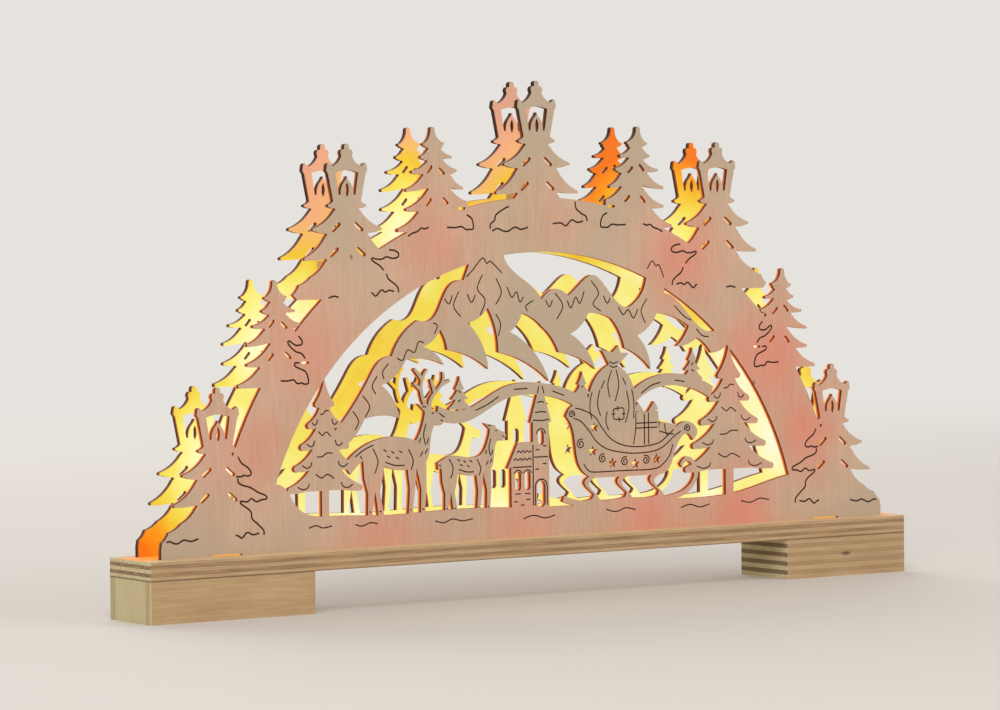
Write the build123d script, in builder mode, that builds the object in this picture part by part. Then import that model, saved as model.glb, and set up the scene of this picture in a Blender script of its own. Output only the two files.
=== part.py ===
from build123d import *
import os
from math import cos, degrees, hypot, radians, sin, sqrt

os.makedirs("parts", exist_ok=True)

# Millimetres. Origin on the floor under the middle of the base, +X to the right,
# +Y to the back, +Z up.

# Base
base_length = 450.0
base_depth = 40.0
board_thickness = 9.0
foot_height = 20.5
left_foot_length = 90.0
right_foot_length = 77.0
edge_round = 0.8

# Panels
panel_thickness = 3.0
panel_gap = 19.0
panel_end_inset = 10.0
arch_inner_radius = 161.0
arch_outer_radius = 188.0
arch_centre_drop = 20.0
ground_height = 13.5
tab_length = 15.0
tab_depth = 8.0
tab_place = 120.0

# Ornaments on the arch
lantern_height = 80.0
upper_lantern_height = 74.5
upper_lantern_place = 110.5
top_lantern_rise = 57.5
upper_lantern_rise = 62.7
fir_height = 51.0
inner_fir_place = 61.3
inner_fir_rise = 45.1
outer_fir_place = 151.6
outer_fir_rise = 38.9
bough_round = 0.8
notch_round = 0.6
bough_bow = 0.08
bough_hollow = 0.3
lantern_slit_length = 6.2
lantern_slit_width = 1.8
fir_slit_length = 4.6
fir_slit_width = 1.5
fir_dash_length = 4.2
fir_dash_width = 1.3
leak_place = 179.0
leak_length = 16.0
leak_height = 0.8

# Picture under the arch, drawn about the centre of an arch of this radius
picture_radius = 161.0
picture_ground = 35.0
hill_width = 6.0
branch_round = 1.7

# Spacers between the panels
spacer_size = 8.0
spacer_rise = 2.0

# Lamp string
lamp_inset = 10.0
lamp_angles = (-67, -49, -20, 3, 30, 54, 68)
lamp_places = (122, 65, -12, -92)
lamp_height = 6.5
socket_length = 7.0
socket_width = 5.0
socket_depth = 4.2
lens_diameter = 4.0
lens_length = 4.6
wire_diameter = 1.6
wire_hole = 4.0

# Cells, case, lid and switch in the left foot
cell_diameter = 10.5
cell_length = 44.5
cell_pitch = 11.0
nub_diameter = 3.8
nub_length = 1.2
contact_thickness = 0.5
contact_height = 9.0
spring_room = 4.4
case_wall = 2.2
case_roof = 1.4
case_recess = 0.8
case_margin = 11.4
lid_thickness = 1.6
lid_lip = 1.0
rib_inset = 6.0
rib_pitch = 2.4
rib_width = 1.2
rib_height = 0.6
switch_bay = 12.0
switch_length = 18.0
switch_width = 7.5
switch_depth = 5.5
slider_length = 5.0
slider_width = 3.2
slider_travel = 3.0
switch_recess = 2.2
thumb_margin = 1.0

# Foot screws
screw_diameter = 3.0
screw_head = 6.0
screw_length = 26.0
screw_point = 1.2
screw_tip = 0.3
screw_recess = 0.6
screw_inset = 5.7
screw_edge = 3.8

# Clearances
slot_clearance = 0.1
slot_end_clearance = 0.75
pocket_clearance = 0.2
running_clearance = 0.15
seat_gap = 0.05
cell_play = 0.4
screw_clearance = 0.1

# Derived places
board_top = foot_height + board_thickness
arch_centre = board_top - arch_centre_drop
panel_half = base_length / 2 - panel_end_inset
inner_face = panel_gap / 2
panel_middle = inner_face + panel_thickness / 2
foot_left = -base_length / 2
foot_inner = foot_left + left_foot_length


def arch_height(place):
    return arch_centre + sqrt(arch_outer_radius**2 - place**2)


# Trees are drawn as half width and depth under their tip. Each bough has a tip and a notch under it.
lantern_knob = [(0, 0), (1.0, 0.4), (1.4, 1.4)]
lantern_neck = [(1.4, 1.4), (1.4, 2.7), (2.6, 2.7)]
lantern_collar = [(2.6, 2.7), (3.4, 4.2), (2.9, 5.8)]
lantern_roof = [(2.9, 5.8), (4.7, 8.6), (8.2, 10.8)]
lantern_side = [(8.2, 10.8), (10.3, 9.2), (11.1, 9.8), (11.6, 12.9), (10.6, 14.3), (7.9, 27.4)]
lantern_boughs = [((10.8, 30.4), (7.4, 30.9)), ((19.5, 41.8), (12.2, 43)), ((24.4, 55.8), (12.4, 55.1))]
lantern_skirt = [(20.6, 63.6), (27.4, 67.4), (31, 72)]
lantern_skirt_half = 31.5
lantern_skirt_drop = 75
upper_foot_half = 28.6
window_top = [(-6.4, -13.9), (0, -12.7), (6.4, -13.9)]
window_foot = [(4.8, 24), (4.2, 24.6), (3.6, 23.9)]
flame_edge = [(3.6, 23.9), (3.3, 21.4), (2.1, 18.9), (0.7, 17.2), (0, 15.6)]
flame_slit = [(0, 18.6), (0.95, 23), (0, 25.6)]
lantern_slits = [(6.4, 40), (7.6, 52)]
lantern_slit_slope = 40
fir_spires = {1: [(1.2, 1.4), (2.2, 4.6), (4.8, 7)], -1: [(1.2, 1.4), (2, 4.8), (4, 7.4)]}
fir_boughs = {
    1: [((6.7, 8.8), (5.4, 10.2)), ((11.1, 15.4), (6.3, 15.2)), ((13.9, 22), (10.9, 23)),
        ((17.5, 30.6), (10.9, 29.8))],
    -1: [((5.6, 9.2), (3.2, 10)), ((7, 15.4), (3.8, 16.2)), ((12.2, 22.6), (6.2, 22.8)),
         ((15.6, 31.4), (3.2, 29.8)), ((15.6, 40.8), (9.2, 41))],
}
fir_skirts = {1: [(20, 36.4), (22.4, 45)], -1: [(20.6, 49.4)]}
fir_slits = {48: [(-2, -20.6), (-2.6, -36.5)], -42: [(5, -21.6), (7, -36)]}
fir_dash = (16.6, -39.8)


def placed(points, side):
    return [(side * width, -depth) for width, depth in points]


def bough(here, tip, notch, side, blunt, bow, hollow):
    reach, depth = tip
    upper = (side * (reach - 0.4 * blunt), 1.7 * blunt - depth)
    nose = (side * reach, 0.6 * blunt - depth)
    lower = (side * (reach - 1.3 * blunt), -depth)
    inner = (side * notch[0], -notch[1])
    SagittaArc(here, upper, -side * bow)
    ThreePointArc(upper, nose, lower)
    SagittaArc(lower, inner, side * hollow)
    return inner


def tree_side(here, boughs, skirt, side):
    for tip, notch in boughs:
        bow = bough_bow * hypot(tip[0] - abs(here[0]), tip[1] + here[1])
        inner = bough(here, tip, notch, side, bough_round, bow, bough_hollow)
        here = (inner[0], inner[1] - 2 * notch_round)
        ThreePointArc(inner, (inner[0] - side * notch_round, inner[1] - notch_round), here)
    for there in placed(skirt, side):
        SagittaArc(here, there, -side * bough_bow * hypot(there[0] - here[0], there[1] - here[1]))
        here = there
    return here


def lantern_tree(foot):
    with BuildSketch() as tree:
        with BuildLine():
            for side in (-1, 1):
                ThreePointArc(*placed(lantern_knob, side))
                Polyline(*placed(lantern_neck, side))
                ThreePointArc(*placed(lantern_collar, side))
                ThreePointArc(*placed(lantern_roof, side))
                wall = placed(lantern_side, side)
                Polyline(*wall)
                tree_side(wall[-1], lantern_boughs, lantern_skirt, side)
            ends = [lantern_skirt[-1], *foot]
            Polyline(*placed(ends, 1), *reversed(placed(ends, -1)))
        make_face()
    return tree.sketch


def lantern_cuts():
    with BuildSketch() as cuts:
        with BuildLine():
            ThreePointArc(*window_top)
            for side in (-1, 1):
                foot = placed(window_foot, side)
                Line((side * window_top[2][0], window_top[2][1]), foot[0])
                ThreePointArc(*foot)
                Spline(*placed(flame_edge, side))
        make_face()
        with BuildLine():
            for side in (-1, 1):
                ThreePointArc(*placed(flame_slit, side))
        make_face()
        for side in (-1, 1):
            with Locations(*placed(lantern_slits, side)):
                SlotOverall(lantern_slit_length, lantern_slit_width, rotation=-lantern_slit_slope * side)
    return cuts.sketch


def arch_fir():
    with BuildSketch() as tree:
        with BuildLine():
            ThreePointArc(*placed(fir_spires[-1][:1], -1), (0, 0), *placed(fir_spires[1][:1], 1))
            ends = []
            for side in (-1, 1):
                spire = placed(fir_spires[side], side)
                ThreePointArc(*spire)
                ends.append(tree_side(spire[-1], fir_boughs[side], fir_skirts[side], side))
            Polyline(ends[1], (ends[1][0], -fir_height), (ends[0][0], -fir_height), ends[0])
        make_face()
    return tree.sketch


def fir_cuts():
    with BuildSketch() as cuts:
        for slope, places in fir_slits.items():
            with Locations(*places):
                SlotOverall(fir_slit_length, fir_slit_width, rotation=slope)
        with Locations(fir_dash):
            SlotOverall(fir_dash_length, fir_dash_width)
    return cuts.sketch


# The picture under the arch: hills, mountains with their summits on the arch, and the snow on the ground
picture_scale = arch_inner_radius / picture_radius
hills = [
    [(-112, 58), (-100, 67), (-86, 70), (-70, 66)],
    [(-60, 84), (-42, 82), (-20, 92), (2, 93), (20, 88), (34, 76)],
    [(56, 86), (70, 94), (86, 95), (106, 88)],
]
ridges = [
    [(-120, 76), (-108, 89), (-99, 102), (-94, 109), (-86, 112)],
    [(-86, 112), (-80, 122), (-71, 129)],
    [(-71, 129), (-62, 130), (-55, 142), (-44, 148)],
    [(-21, 163), (-18, 155), (-5, 145), (2, 137.5)],
    [(2, 137.5), (10, 142.5), (18, 139)],
    [(18, 139), (26, 145.5), (32, 149), (42, 141.5), (55, 132.5)],
    [(55, 132.5), (62, 138), (66, 152)],
    [(77, 139), (90, 130), (104, 119), (112, 121)],
]
summits = [[(-44, 148), (-38, 162), (-21, 163)], [(66, 152), (76, 147), (77, 139)]]
snow_crest = [
    [(-156, 52), (-149, 52), (-140, 41), (-118, 36), (-90, 35), (-50, 36), (0, 34.6), (50, 36)],
    [(50, 36), (90, 34.6), (125, 37), (146, 42), (156, 44)],
]
snow_foot = [(156, 44), (160, 24), (-160, 24), (-156, 52)]
snow_edge = [
    (112, 121), (116, 112), (106, 108), (97, 116), (84, 112), (92, 122), (72, 129), (60, 118), (68, 101),
    (52, 112), (44, 127), (30, 130), (19, 120), (34, 102), (12, 111), (2, 124), (-10, 131), (-17, 122),
    (6, 97), (-24, 112), (-30, 134), (-42, 127), (-30, 104), (-54, 114), (-58, 124), (-68, 116),
    (-56, 107), (-78, 110), (-92, 98), (-82, 82), (-102, 82), (-120, 66),
]


def ribbon(points, width, tip_width):
    edges = ([], [])
    last = len(points) - 1
    for place, (x, y) in enumerate(points):
        back = points[max(place - 1, 0)]
        ahead = points[min(place + 1, last)]
        run = hypot(ahead[0] - back[0], ahead[1] - back[1])
        half = (width + (tip_width - width) * place / last) / 2
        across = ((back[1] - ahead[1]) / run * half, (ahead[0] - back[0]) / run * half)
        edges[0].append((x + across[0], y + across[1]))
        edges[1].append((x - across[0], y - across[1]))
    for edge in edges:
        if last > 1:
            Spline(*edge)
        else:
            Line(*edge)
    Line(edges[0][0], edges[1][0])
    Line(edges[0][-1], edges[1][-1])


antler_strokes = [
    [(17.4, 51.6), (14, 59), (14, 65), (17.4, 71)],
    [(13.7, 61), (9.4, 64.6)],
    [(14.2, 66.4), (9.8, 71.4)],
    [(18.6, 51.6), (20.8, 58.4), (25.2, 63), (26.4, 69.4)],
    [(21.6, 59.4), (19.4, 66)],
    [(25.3, 63.2), (30.4, 65.2)],
]
runner_line = [(-38, 4), (-30, 1.6), (0, 1.2), (28, 1.6), (39.6, 6), (43.8, 14), (39.4, 20.6),
               (34.4, 17.4)]


def deer(size, antlers):
    with BuildSketch() as animal:
        with BuildLine():
            Spline((-19.5, 33), (-12, 35.4), (0, 33.8), (9, 35.4), (13, 41), (15.4, 48.4))
            Polyline((15.4, 48.4), (15.6, 50.4), (11.4, 54.4), (17.2, 53.2), (19.6, 52.8))
            Spline((19.6, 52.8), (24, 49.2), (27.4, 46.6), (26.4, 44.6), (21.6, 44.2))
            Spline((21.6, 44.2), (19.2, 39), (18.4, 32), (16.2, 26))
            Polyline((16.2, 26), (16.2, 13), (15.4, 3), (16.6, 0), (12.8, 0), (13.2, 13), (10.6, 23.4))
            Polyline((10.6, 23.4), (9.6, 13), (8.2, 3), (9.2, 0), (5.6, 0), (6.6, 13), (5.4, 22.6))
            Spline((5.4, 22.6), (-2, 22.8), (-8, 24.8))
            Polyline((-8, 24.8), (-9, 19), (-10.6, 13), (-8.8, 3), (-7.8, 0), (-11.4, 0), (-13.2, 12.6))
            Polyline((-13.2, 12.6), (-15, 3), (-14, 0), (-17.6, 0), (-17.4, 12), (-19.4, 19), (-20, 28))
            Polyline((-20, 28), (-22.4, 27), (-22.8, 31.4), (-19.5, 33))
        make_face()
        for stroke in antler_strokes if antlers else []:
            with BuildLine():
                ribbon(stroke, 2.0, 1.3)
            make_face()
    return scale(animal.sketch, size)


def five_point_star(outer, inner):
    with BuildSketch() as cut:
        with BuildLine():
            ring = []
            for corner in range(10):
                reach = outer if corner % 2 == 0 else inner
                turn = radians(90 + 36 * corner)
                ring.append((reach * cos(turn), reach * sin(turn)))
            Polyline(*ring, ring[0])
        make_face()
    return cut.sketch


star = five_point_star(2.9, 1.2)


def sleigh():
    with BuildSketch() as whole:
        with BuildLine():
            Spline((-36, 45), (-31, 34), (-29, 22), (-20, 13.6))
            Line((-20, 13.6), (18, 13.6))
            Spline((18, 13.6), (28, 18), (32, 28), (38, 33.6), (42, 30))
            Spline((42, 30), (44.4, 36), (38, 39.8), (30, 36), (21, 29.4), (6, 28))
            Spline((6, 28), (-10, 31.4), (-20, 43), (-31, 50.4), (-36, 45))
        make_face()
        with BuildLine():
            ribbon(runner_line, 3.0, 2.2)
        make_face()
        for foot in (-21, -1, 19):
            with BuildLine():
                curl = [(foot - 4.6, 1.4), (foot + 2.6, 5), (foot - 2.2, 9.6), (foot + 2.4, 14.6)]
                ribbon(curl, 2.2, 2.2)
            make_face()
            with BuildLine():
                ribbon([(foot + 5.4, 1.4), (foot + 1, 4.2)], 2.2, 2.2)
            make_face()
        with BuildLine():
            Spline((-19, 38), (-22.6, 50), (-19, 62), (-9.6, 70))
            Polyline((-9.6, 70), (-14, 77.4), (-7.6, 76), (-3.8, 79.4), (-2.4, 75.6), (2.6, 75.4),
                     (-4, 69.4))
            Spline((-4, 69.4), (4.6, 60), (6.4, 46), (2, 28))
            Polyline((2, 28), (-8, 26), (-19, 38))
        make_face()
        with Locations((9.6, 36)):
            Rectangle(22, 19)
        for loop in (-1, 1):
            with BuildLine():
                Polyline((13, 44), (13 + 5 * loop, 50.6), (13 + 7.6 * loop, 46.6), (13, 44))
            make_face()
        with Locations((25.4, 33.8)):
            Rectangle(10.4, 11.4, rotation=-12)
        with Locations((-20, 27), (-8, 20.6), (6, 19.6), (19, 21.6), (-19, 39)):
            add(star, mode=Mode.SUBTRACT)
    return whole.sketch


def chapel():
    with BuildSketch() as house:
        with BuildLine():
            Polyline((-15, -4), (-15, 22), (-17.4, 21.4), (-11, 34), (-2, 34), (-2, 44), (-3.6, 43.6),
                     (2.8, 64), (9.2, 43.6), (7.6, 44), (7.6, -4), (-15, -4))
        make_face()
        with Locations((-11, 15), (-5.4, 15)):
            SlotOverall(9.4, 3.4, rotation=90, mode=Mode.SUBTRACT)
        with Locations((2.8, 36)):
            SlotOverall(7.4, 3.4, rotation=90, mode=Mode.SUBTRACT)
        with Locations((2.8, 8)):
            SlotOverall(13, 5, rotation=90, mode=Mode.SUBTRACT)
    return house.sketch


def standing_fir(height, half_width, tiers, trunk, tip_round):
    with BuildSketch() as tree:
        for side in (-1, 1):
            here = (0, 0)
            with BuildLine():
                for tier in range(1, tiers + 1):
                    share = tier / tiers
                    depth = 0.86 * height * (0.1 + 0.9 * share)
                    tip = (half_width * share**0.85, depth)
                    notch = (half_width * (0.5 * share + 0.02), depth - 0.012 * height)
                    here = bough(here, tip, notch, side, tip_round, 0.016 * height, 0.005 * height)
                Polyline(here, (0, here[1]), (0, 0))
            make_face()
        with Locations((0, -height * 0.95)):
            Rectangle(trunk, height * 0.3)
    return tree.sketch


stag = deer(1.0, True)
doe = deer(0.8, False)
house = chapel()
parked_sleigh = sleigh()
left_fir = standing_fir(66, 21, 5, 4, branch_round)
right_fir = standing_fir(76, 28, 5, 5, branch_round)
hill_fir = standing_fir(19, 6.4, 3, 2, branch_round / 3)

with BuildSketch() as picture:
    # Mountains hung under the arch
    with BuildLine():
        for ridge in ridges:
            Spline(*ridge)
        for summit in summits:
            Polyline(*summit)
        for here, there in zip(snow_edge, snow_edge[1:]):
            bow = 0.1 if there[1] < here[1] else -0.07
            SagittaArc(here, there, bow * hypot(there[0] - here[0], there[1] - here[1]))
        Line(snow_edge[-1], ridges[0][0])
    make_face()
    # Hills behind the snow field
    for hill in hills:
        with BuildLine():
            ribbon(hill, hill_width, hill_width)
        make_face()
    with Locations((-47, 101), (26, 101), (94, 111)):
        add(hill_fir)
    # Snow with a drift in each corner
    with BuildLine():
        for crest in snow_crest:
            Spline(*crest)
        Polyline(*snow_foot)
    make_face()
    # Animals, chapel and sleigh on the snow
    with Locations((-83, picture_ground - 1)):
        add(stag)
    with Locations((-42, picture_ground - 1)):
        add(doe)
    with Locations((-2, picture_ground - 2)):
        add(house)
    with Locations((52, picture_ground - 1)):
        add(parked_sleigh)
    # Firs at both sides
    with Locations((-124.5, 104.5)):
        add(left_fir)
    with Locations((117, 113)):
        add(right_fir)

upper_lantern = lantern_tree([(upper_foot_half, upper_lantern_height)])
end_lantern = lantern_tree([(lantern_skirt_half, lantern_skirt_drop), (lantern_skirt_half, lantern_height)])
window = lantern_cuts()
left_arch_fir = arch_fir()
right_arch_fir = mirror(left_arch_fir, about=Plane.YZ)
left_fir_cuts = fir_cuts()
right_fir_cuts = mirror(left_fir_cuts, about=Plane.YZ)
fitted_picture = scale(picture.sketch, picture_scale)

lantern_tips = [(0, arch_height(0) + top_lantern_rise)]
left_fir_tips = []
right_fir_tips = []
upper_tip = arch_height(upper_lantern_place) + upper_lantern_rise
for side in (-1, 1):
    lantern_tips.append((side * upper_lantern_place, upper_tip))
for place, rise in ((inner_fir_place, inner_fir_rise), (outer_fir_place, outer_fir_rise)):
    left_fir_tips.append((-place, arch_height(place) + rise))
    right_fir_tips.append((place, arch_height(place) + rise))
end_tips = [(side * (panel_half - lantern_skirt_half), board_top + lantern_height) for side in (-1, 1)]

with BuildSketch() as panel_outline:
    with Locations((0, arch_centre)):
        Circle(arch_outer_radius)
        Circle(arch_inner_radius, mode=Mode.SUBTRACT)
    with Locations((0, arch_centre)):
        add(fitted_picture)
    with Locations((0, board_top)):
        Rectangle(3 * base_length, 3 * base_length, align=(Align.CENTER, Align.MAX), mode=Mode.SUBTRACT)
        Rectangle(2 * (panel_half - lantern_skirt_half), ground_height, align=(Align.CENTER, Align.MIN))
    with Locations(*lantern_tips):
        add(upper_lantern)
    with Locations(*end_tips):
        add(end_lantern)
    with Locations(*left_fir_tips):
        add(left_arch_fir)
    with Locations(*right_fir_tips):
        add(right_arch_fir)
    with Locations(*lantern_tips, *end_tips):
        add(window, mode=Mode.SUBTRACT)
    with Locations(*left_fir_tips):
        add(left_fir_cuts, mode=Mode.SUBTRACT)
    with Locations(*right_fir_tips):
        add(right_fir_cuts, mode=Mode.SUBTRACT)
    with Locations((-leak_place, board_top), (leak_place, board_top)):
        Rectangle(leak_length, 2 * leak_height, mode=Mode.SUBTRACT)
    with Locations((-tab_place, board_top), (tab_place, board_top)):
        Rectangle(tab_length, tab_depth, align=(Align.CENTER, Align.MAX))

with BuildPart() as front_panel:
    with BuildSketch(Plane.XZ.offset(inner_face)):
        add(panel_outline.sketch, clean=False)
    extrude(amount=panel_thickness, clean=False)
front_panel.part.label = "front_panel"
export_step(front_panel.part, "parts/front_panel.step")

with BuildPart() as back_panel:
    with BuildSketch(Plane.XZ.offset(-inner_face)):
        add(panel_outline.sketch, clean=False)
    extrude(amount=-panel_thickness, clean=False)
back_panel.part.label = "back_panel"
export_step(back_panel.part, "parts/back_panel.step")

# Spacers, each behind a lantern tree
spacer_places = {
    "spacer_top": (0, arch_height(0)),
    "spacer_left": (-upper_lantern_place, arch_height(upper_lantern_place)),
    "spacer_right": (upper_lantern_place, arch_height(upper_lantern_place)),
}
for label, (place, height) in spacer_places.items():
    with BuildPart() as spacer:
        with BuildSketch(Plane.XZ.offset(-inner_face)):
            with Locations((place, height + spacer_rise)):
                Rectangle(spacer_size, spacer_size)
        extrude(amount=panel_gap)
    spacer.part.label = label
    export_step(spacer.part, f"parts/{label}.step")

# Lamps on the inner face of the front panel: place and direction of the string at each
lamp_radius = arch_outer_radius - lamp_inset
lamps = []
for angle in lamp_angles:
    turn = radians(angle)
    lamps.append((lamp_radius * sin(turn), arch_centre + lamp_radius * cos(turn), cos(turn), -sin(turn)))
for place in lamp_places:
    lamps.append((place, board_top + lamp_height, -1, 0))
for number, (place, height, along, rise) in enumerate(lamps, 1):
    seat = Plane((place, -inner_face, height), x_dir=(along, 0, rise), z_dir=(0, 1, 0))
    with BuildPart() as lamp_socket:
        with BuildSketch(seat):
            RectangleRounded(socket_length, socket_width, socket_width / 5)
        extrude(amount=socket_depth)
    lamp_socket.part.label = f"lamp_socket_{number}"
    export_step(lamp_socket.part, f"parts/lamp_socket_{number}.step")
    with BuildPart() as lamp_lens:
        with BuildSketch(seat.offset(socket_depth)):
            Circle(lens_diameter / 2)
        extrude(amount=lens_length)
        fillet(lamp_lens.edges().sort_by(Axis.Y)[-1], 0.48 * lens_diameter)
    lamp_lens.part.label = f"lamp_lens_{number}"
    export_step(lamp_lens.part, f"parts/lamp_lens_{number}.step")

# Levels of the battery case, lid and switch
case_bottom = case_recess
lid_bottom = case_bottom + lid_lip + running_clearance
lid_top = lid_bottom + lid_thickness
groove_top = lid_top + running_clearance
cell_height = groove_top + cell_play + cell_diameter / 2
bay_top = cell_height + cell_diameter / 2 + cell_play
case_top = bay_top + case_roof
bay_length = cell_length + 2 * contact_thickness + spring_room
bay_width = 2 * cell_pitch
case_left = foot_left + case_margin
switch_left = case_left + case_wall
switch_middle = switch_left + switch_bay / 2
bay_left = switch_left + switch_bay + case_wall
bay_right = bay_left + bay_length
case_right = bay_right + case_wall
case_width = bay_width + 2 * case_wall
groove_depth = case_wall / 2
lid_width = bay_width + 2 * groove_depth - 2 * running_clearance
switch_floor = case_bottom + switch_recess
switch_seat = switch_floor + case_roof
slot_length = slider_length + slider_travel + 2 * running_clearance
slot_width = slider_width + 2 * running_clearance
wire_plane = socket_depth / 2 - inner_face


def block(left, right, half_width, low, high):
    with BuildPart() as solid:
        with Locations(((left + right) / 2, 0, low)):
            Box(right - left, 2 * half_width, high - low, align=(Align.CENTER, Align.CENTER, Align.MIN))
    return solid.part


bay_room = block(bay_left, bay_right, bay_width / 2, case_bottom, bay_top)
groove_room = block(bay_left, case_right, bay_width / 2 + groove_depth, case_bottom + lid_lip, groove_top)
exit_room = block(bay_right, case_right, bay_width / 2, case_bottom, groove_top)
switch_right = switch_left + switch_bay
switch_room = block(switch_left, switch_right, bay_width / 2, switch_seat, case_top)
thumb_room = block(switch_left + thumb_margin, switch_right - thumb_margin, bay_width / 2 - thumb_margin,
                   case_bottom, switch_floor)
with BuildPart() as battery_case:
    add(block(case_left, case_right, case_width / 2, case_bottom, case_top))
    add([bay_room, groove_room, exit_room, switch_room, thumb_room], mode=Mode.SUBTRACT)
    with BuildSketch(Plane.XY.offset(switch_floor)):
        with Locations((switch_middle, 0)):
            Rectangle(slot_width, slot_length)
    extrude(amount=switch_seat - switch_floor, mode=Mode.SUBTRACT)
battery_case.part.label = "battery_case"
export_step(battery_case.part, "parts/battery_case.step")

with BuildPart() as battery_lid:
    add(block(bay_left + running_clearance, case_right, lid_width / 2, lid_bottom, lid_top))
    with BuildSketch(Plane.XY.offset(lid_bottom)):
        for rib in range(3):
            with Locations((case_right - rib_inset - rib_pitch * rib, 0)):
                Rectangle(rib_width, bay_width / 2)
    extrude(amount=-rib_height)
battery_lid.part.label = "battery_lid"
export_step(battery_lid.part, "parts/battery_lid.step")

with BuildPart() as switch_body:
    with BuildSketch(Plane.XY.offset(switch_seat)):
        with Locations((switch_middle, 0)):
            Rectangle(switch_width, switch_length)
    extrude(amount=switch_depth)
    with BuildSketch(Plane.XY.offset(switch_seat)):
        with Locations((switch_middle, 0)):
            Rectangle(slot_width, slot_length)
    extrude(amount=switch_depth / 2, mode=Mode.SUBTRACT)
switch_body.part.label = "switch_body"
export_step(switch_body.part, "parts/switch_body.step")

with BuildPart() as switch_slider:
    with BuildSketch(Plane.XY.offset(case_bottom + running_clearance)):
        with Locations((switch_middle, -slider_travel / 2)):
            Rectangle(slider_width, slider_length)
    extrude(amount=switch_seat + switch_depth / 2 - case_bottom - 2 * running_clearance)
switch_slider.part.label = "switch_slider"
export_step(switch_slider.part, "parts/switch_slider.step")

# Cells, the first with its nub to the left and the second to the right
for number, (side, nub_end, turn) in enumerate(((-1, bay_left, 1), (1, bay_right, -1)), 1):
    seat = Plane((nub_end + turn * (contact_thickness + seat_gap), side * cell_pitch / 2, cell_height),
                 x_dir=(0, 1, 0), z_dir=(turn, 0, 0))
    with BuildPart() as cell:
        with BuildSketch(seat):
            Circle(nub_diameter / 2)
        extrude(amount=nub_length)
        with BuildSketch(seat.offset(nub_length)):
            Circle(cell_diameter / 2)
        extrude(amount=cell_length - nub_length - 2 * seat_gap)
    cell.part.label = f"cell_{number}"
    export_step(cell.part, f"parts/cell_{number}.step")


def contact(wall, turn, plate_middle, plate_width, leaf_middle):
    with BuildPart() as strip:
        with BuildSketch(Plane.XY.offset(cell_height - contact_height / 2)):
            with Locations((wall + turn * contact_thickness / 2, plate_middle)):
                Rectangle(contact_thickness, plate_width)
        extrude(amount=contact_height)
        if leaf_middle is not None:
            root = wall + turn * contact_thickness
            half = contact_height * 0.42
            reach = turn * (spring_room - seat_gap)
            thin = contact_thickness * 0.8
            crown = root + reach
            low = leaf_middle - half
            high = leaf_middle + half
            with BuildSketch(Plane.XY.offset(cell_height - contact_height / 4)):
                with BuildLine():
                    ThreePointArc((root, low), (crown, leaf_middle), (root, high))
                    Line((root, high), (root, high - thin))
                    inner_crown = crown - turn * thin
                    ThreePointArc((root, high - thin), (inner_crown, leaf_middle), (root, low + thin))
                    Line((root, low + thin), (root, low))
                make_face()
            extrude(amount=contact_height / 2)
    return strip.part


half_pitch = cell_pitch / 2
contacts = {
    "contact_positive": contact(bay_left, 1, -half_pitch, contact_height, None),
    "contact_negative": contact(bay_left, 1, half_pitch, contact_height, half_pitch),
    "contact_bridge": contact(bay_right, -1, 0, cell_pitch + contact_height, -half_pitch),
}
for label, strip in contacts.items():
    strip.label = label
    export_step(strip, f"parts/{label}.step")

# Lamp string: feed from the switch, runs between the sockets
half_socket = socket_length / 2 + seat_gap


def socket_end(number, turn):
    place, height, along, rise = lamps[number]
    return (place + turn * half_socket * along, height + turn * half_socket * rise)


def tangent_at(number, turn, level):
    place, height, along, rise = lamps[number]
    return (place + (level - height) * along / rise, level)


run_level = board_top + lamp_height
last_arch = len(lamp_angles) - 1
feed = (switch_middle, switch_seat + switch_depth + seat_gap)
feed_corner = (switch_middle, run_level)
feed_turn = tangent_at(0, -1, run_level)
return_turn = tangent_at(last_arch, 1, run_level)
runs = [((feed, feed_corner, feed_turn, socket_end(0, -1)), 7.0),
        ((socket_end(last_arch, 1), return_turn, socket_end(last_arch + 1, -1)), 9.0)]
with BuildPart() as lamp_wire:
    for corners, bend in runs:
        with BuildLine(Plane.XZ.offset(-wire_plane)) as run:
            FilletPolyline(*corners, radius=bend)
        with BuildSketch(Plane(run.line @ 0, z_dir=run.line % 0)):
            Circle(wire_diameter / 2)
        sweep(path=run.line)
    for number in range(last_arch):
        start = lamp_angles[number]
        span = lamp_angles[number + 1] - start
        trim = degrees(half_socket / lamp_radius)
        with BuildLine(Plane.XZ.offset(-wire_plane)) as run:
            CenterArc((0, arch_centre), lamp_radius, 90 - start - trim, -(span - 2 * trim))
        with BuildSketch(Plane(run.line @ 0, z_dir=run.line % 0)):
            Circle(wire_diameter / 2)
        sweep(path=run.line)
    for number in range(last_arch + 1, len(lamps) - 1):
        start = socket_end(number, 1)[0]
        end = socket_end(number + 1, -1)[0]
        with BuildSketch(Plane((start, wire_plane, run_level), z_dir=(-1, 0, 0))):
            Circle(wire_diameter / 2)
        extrude(amount=start - end)
lamp_wire.part.label = "lamp_wire"
export_step(lamp_wire.part, "parts/lamp_wire.step")

# Foot screws, countersunk from below
screw_slope = (screw_head - screw_diameter) / 2 / (0.6 * screw_diameter)
screw_reach = base_depth / 2 - screw_edge
right_inner = base_length / 2 - right_foot_length
left_screws = [(foot_left + screw_inset, 0), (foot_inner - screw_inset, screw_reach),
               (foot_inner - screw_inset, -screw_reach)]
right_screws = [(-foot_left - screw_inset, 0), (right_inner + screw_inset, screw_reach),
                (right_inner + screw_inset, -screw_reach)]


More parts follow.
